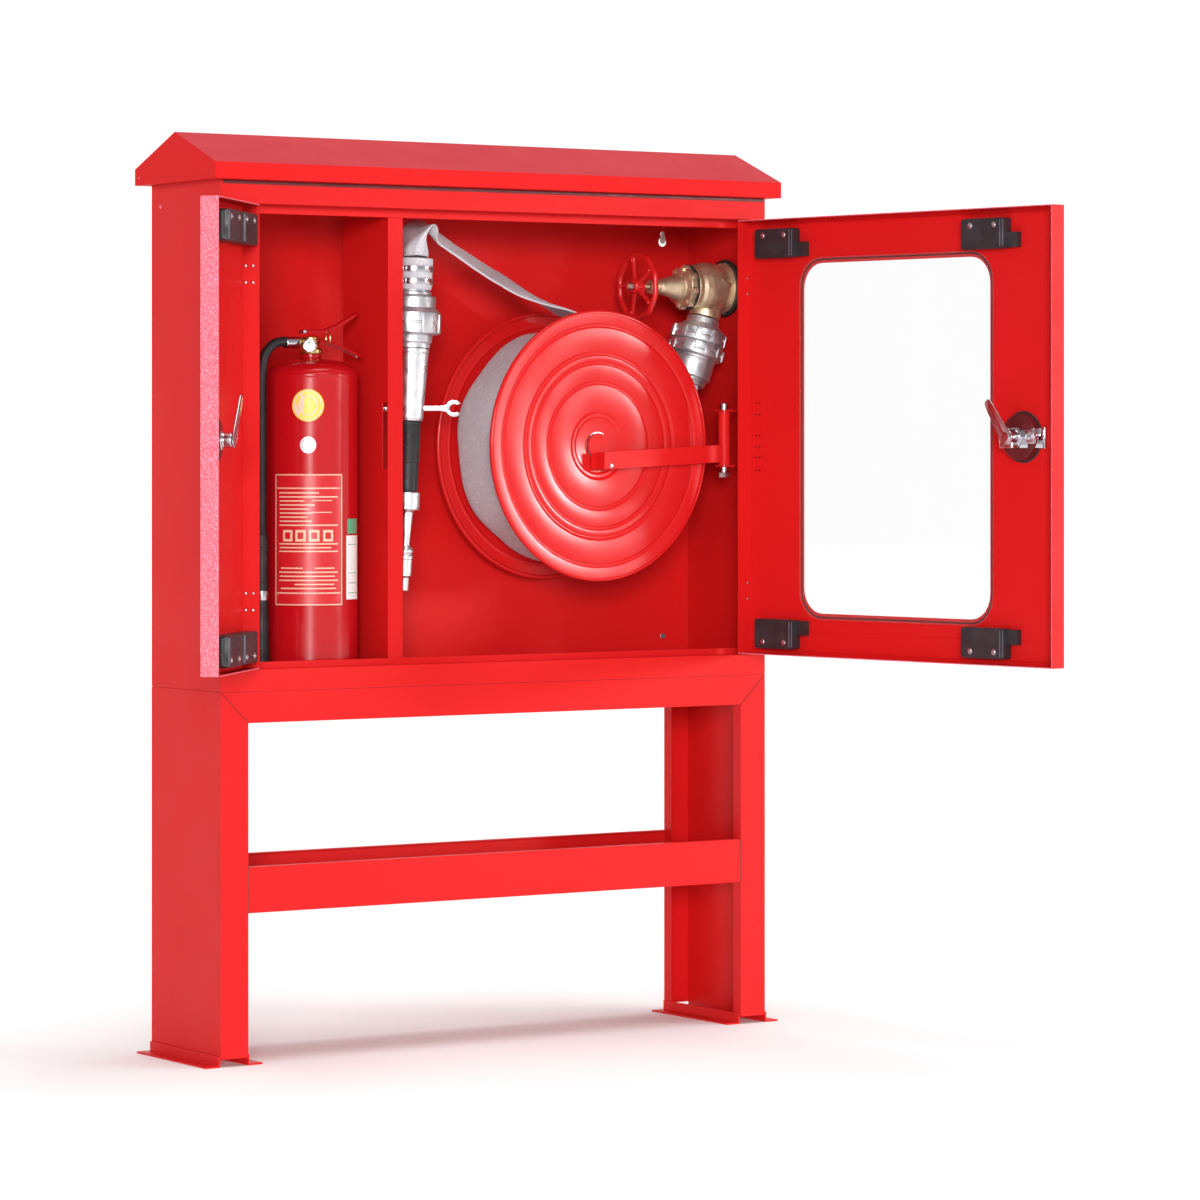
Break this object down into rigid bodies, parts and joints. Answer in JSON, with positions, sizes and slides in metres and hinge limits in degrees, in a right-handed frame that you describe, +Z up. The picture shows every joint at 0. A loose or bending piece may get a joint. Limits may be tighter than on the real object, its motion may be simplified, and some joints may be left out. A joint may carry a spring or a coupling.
{
  "type": "standpipe cabinet",
  "caption": "Free-standing steel fire cabinet on a stand with hinged doors, swing-out hose reel, landing valve, branch pipe and powder extinguisher.",
  "frame": {"origin": "on the floor, in the middle of the object's footprint with both doors open as at rest", "axes": "+Z up, -Y out of the doors, +X to the right seen from the front"},
  "size_m": [1.2644, 0.97, 1.477],
  "materials": {
    "red_enamel": "semi-gloss powder coat, light orange peel",
    "brass": "as cast, slightly dull",
    "cast_aluminium": "satin cast and turned",
    "chrome": "bright plated",
    "black_plastic": "moulded, matt",
    "black_rubber": "smooth, matt",
    "woven_hose": "woven polyester jacket",
    "clear_pane": "clear, polished"
  },
  "bodies": {
    "cabinet": {"left_leg": "red_enamel", "right_leg": "red_enamel", "stand_top_rail": "red_enamel", "stand_lower_rail": "red_enamel", "left_foot_outer": "red_enamel", "left_foot_inner": "red_enamel", "right_foot_outer": "red_enamel", "right_foot_inner": "red_enamel", "floor_panel": "red_enamel", "ceiling_panel": "red_enamel", "left_side_panel": "red_enamel", "right_side_panel": "red_enamel", "back_panel": "red_enamel", "front_frame": "red_enamel", "divider": "red_enamel", "roof_cover": "red_enamel", "reel_bracket": "red_enamel", "pivot_rod": "chrome", "valve_body": "brass", "valve_bonnet": "brass", "outlet_coupling": "cast_aluminium", "hose_coupling": "cast_aluminium", "hose_feed": "woven_hose", "hose_lead": "woven_hose", "nozzle_coupling": "cast_aluminium", "nozzle_tube": "cast_aluminium", "nozzle_grip": "black_rubber", "nozzle_bracket": "red_enamel", "coupling_spanner": "chrome", "extinguisher_cylinder": "red_enamel", "extinguisher_valve": "brass", "pressure_gauge": "chrome", "carry_handle": "red_enamel", "extinguisher_hose": "black_rubber", "extinguisher_horn": "black_plastic"},
    "left_door": {"left_door_leaf": "red_enamel", "left_lock": "chrome", "left_block_lower_1": "black_plastic", "left_block_lower_2": "black_plastic", "left_block_upper_1": "black_plastic", "left_block_upper_2": "black_plastic"},
    "left_latch": {"left_latch_lever": "chrome"},
    "right_door": {"right_door_leaf": "red_enamel", "right_lock": "chrome", "window_pane": "clear_pane", "right_block_lower_1": "black_plastic", "right_block_lower_2": "black_plastic", "right_block_upper_1": "black_plastic", "right_block_upper_2": "black_plastic"},
    "right_latch": {"right_latch_lever": "chrome"},
    "swing_arm": {"reel_arm": "red_enamel"},
    "reel": {"reel_drum": "red_enamel", "reel_front_disc": "red_enamel", "reel_rear_disc": "red_enamel", "hose_pack": "woven_hose"},
    "valve_spindle": {"valve_stem": "brass"},
    "valve_wheel": {"handwheel": "red_enamel"},
    "ext_lever": {"squeeze_lever": "red_enamel"},
    "ext_pin": {"safety_pin": "chrome"},
    "nozzle_shutoff": {"nozzle_tip": "cast_aluminium"}
  },
  "joints": [
    {"name": "left_door_hinge", "type": "hinge", "parent": "cabinet", "child": "left_door", "pos_m": [-0.4546, 0.2305, 0.99], "axis": [0, 0, 1], "range_deg": [-10, 132.8]},
    {"name": "right_door_hinge", "type": "hinge", "parent": "cabinet", "child": "right_door", "pos_m": [0.533, 0.2305, 0.99], "axis": [0, 0, -1], "range_deg": [-12, 98.3]},
    {"name": "left_latch_turn", "type": "hinge", "parent": "left_door", "child": "left_latch", "pos_m": [-0.60408, 0.06908, 0.9865], "axis": [0.7337, -0.6794, 0], "range_deg": [0, 146]},
    {"name": "right_latch_turn", "type": "hinge", "parent": "right_door", "child": "right_latch", "pos_m": [0.62438, -0.39587, 0.9915], "axis": [0.9895, 0.1444, 0], "range_deg": [0, 106]},
    {"name": "reel_arm_swing", "type": "hinge", "parent": "cabinet", "child": "swing_arm", "pos_m": [0.5142, 0.284, 0.99], "axis": [0, 0, -1], "range_deg": [-60, 3.9], "deforming": ["hose_lead", "hose_feed"]},
    {"name": "reel_spin", "type": "hinge", "parent": "swing_arm", "child": "reel", "pos_m": [0.2588, 0.2665, 0.9777], "axis": [-0.0684, 0.9977, 0], "continuous": true},
    {"name": "handwheel_turn", "type": "hinge", "parent": "valve_spindle", "child": "valve_wheel", "pos_m": [0.3782, 0.345, 1.2475], "axis": [-1, 0, 0], "range_deg": [0, 1440]},
    {"name": "valve_stem_travel", "type": "slide", "parent": "cabinet", "child": "valve_spindle", "axis": [-1, 0, 0], "range_m": [0, 0.0165]},
    {"name": "squeeze_lever_pivot", "type": "hinge", "parent": "cabinet", "child": "ext_lever", "pos_m": [-0.26629, 0.35921, 1.164], "axis": [0.2079, 0.9782, 0], "range_deg": [0, 12], "stiffness_Nm_per_rad": 0.8, "springref_deg": -4.58},
    {"name": "safety_pin_pull", "type": "slide", "parent": "cabinet", "child": "ext_pin", "axis": [-0.2079, -0.9782, 0], "range_m": [0, 0.05]},
    {"name": "nozzle_tip_twist", "type": "hinge", "parent": "cabinet", "child": "nozzle_shutoff", "pos_m": [-0.08971, 0.325, 0.90236], "axis": [-0.0368, 0, -0.9993], "range_deg": [0, 180]}
  ],
  "couplings": [
    {"joint": "valve_stem_travel", "follows": "handwheel_turn", "m_per_rad": 0.00063662}
  ]
}
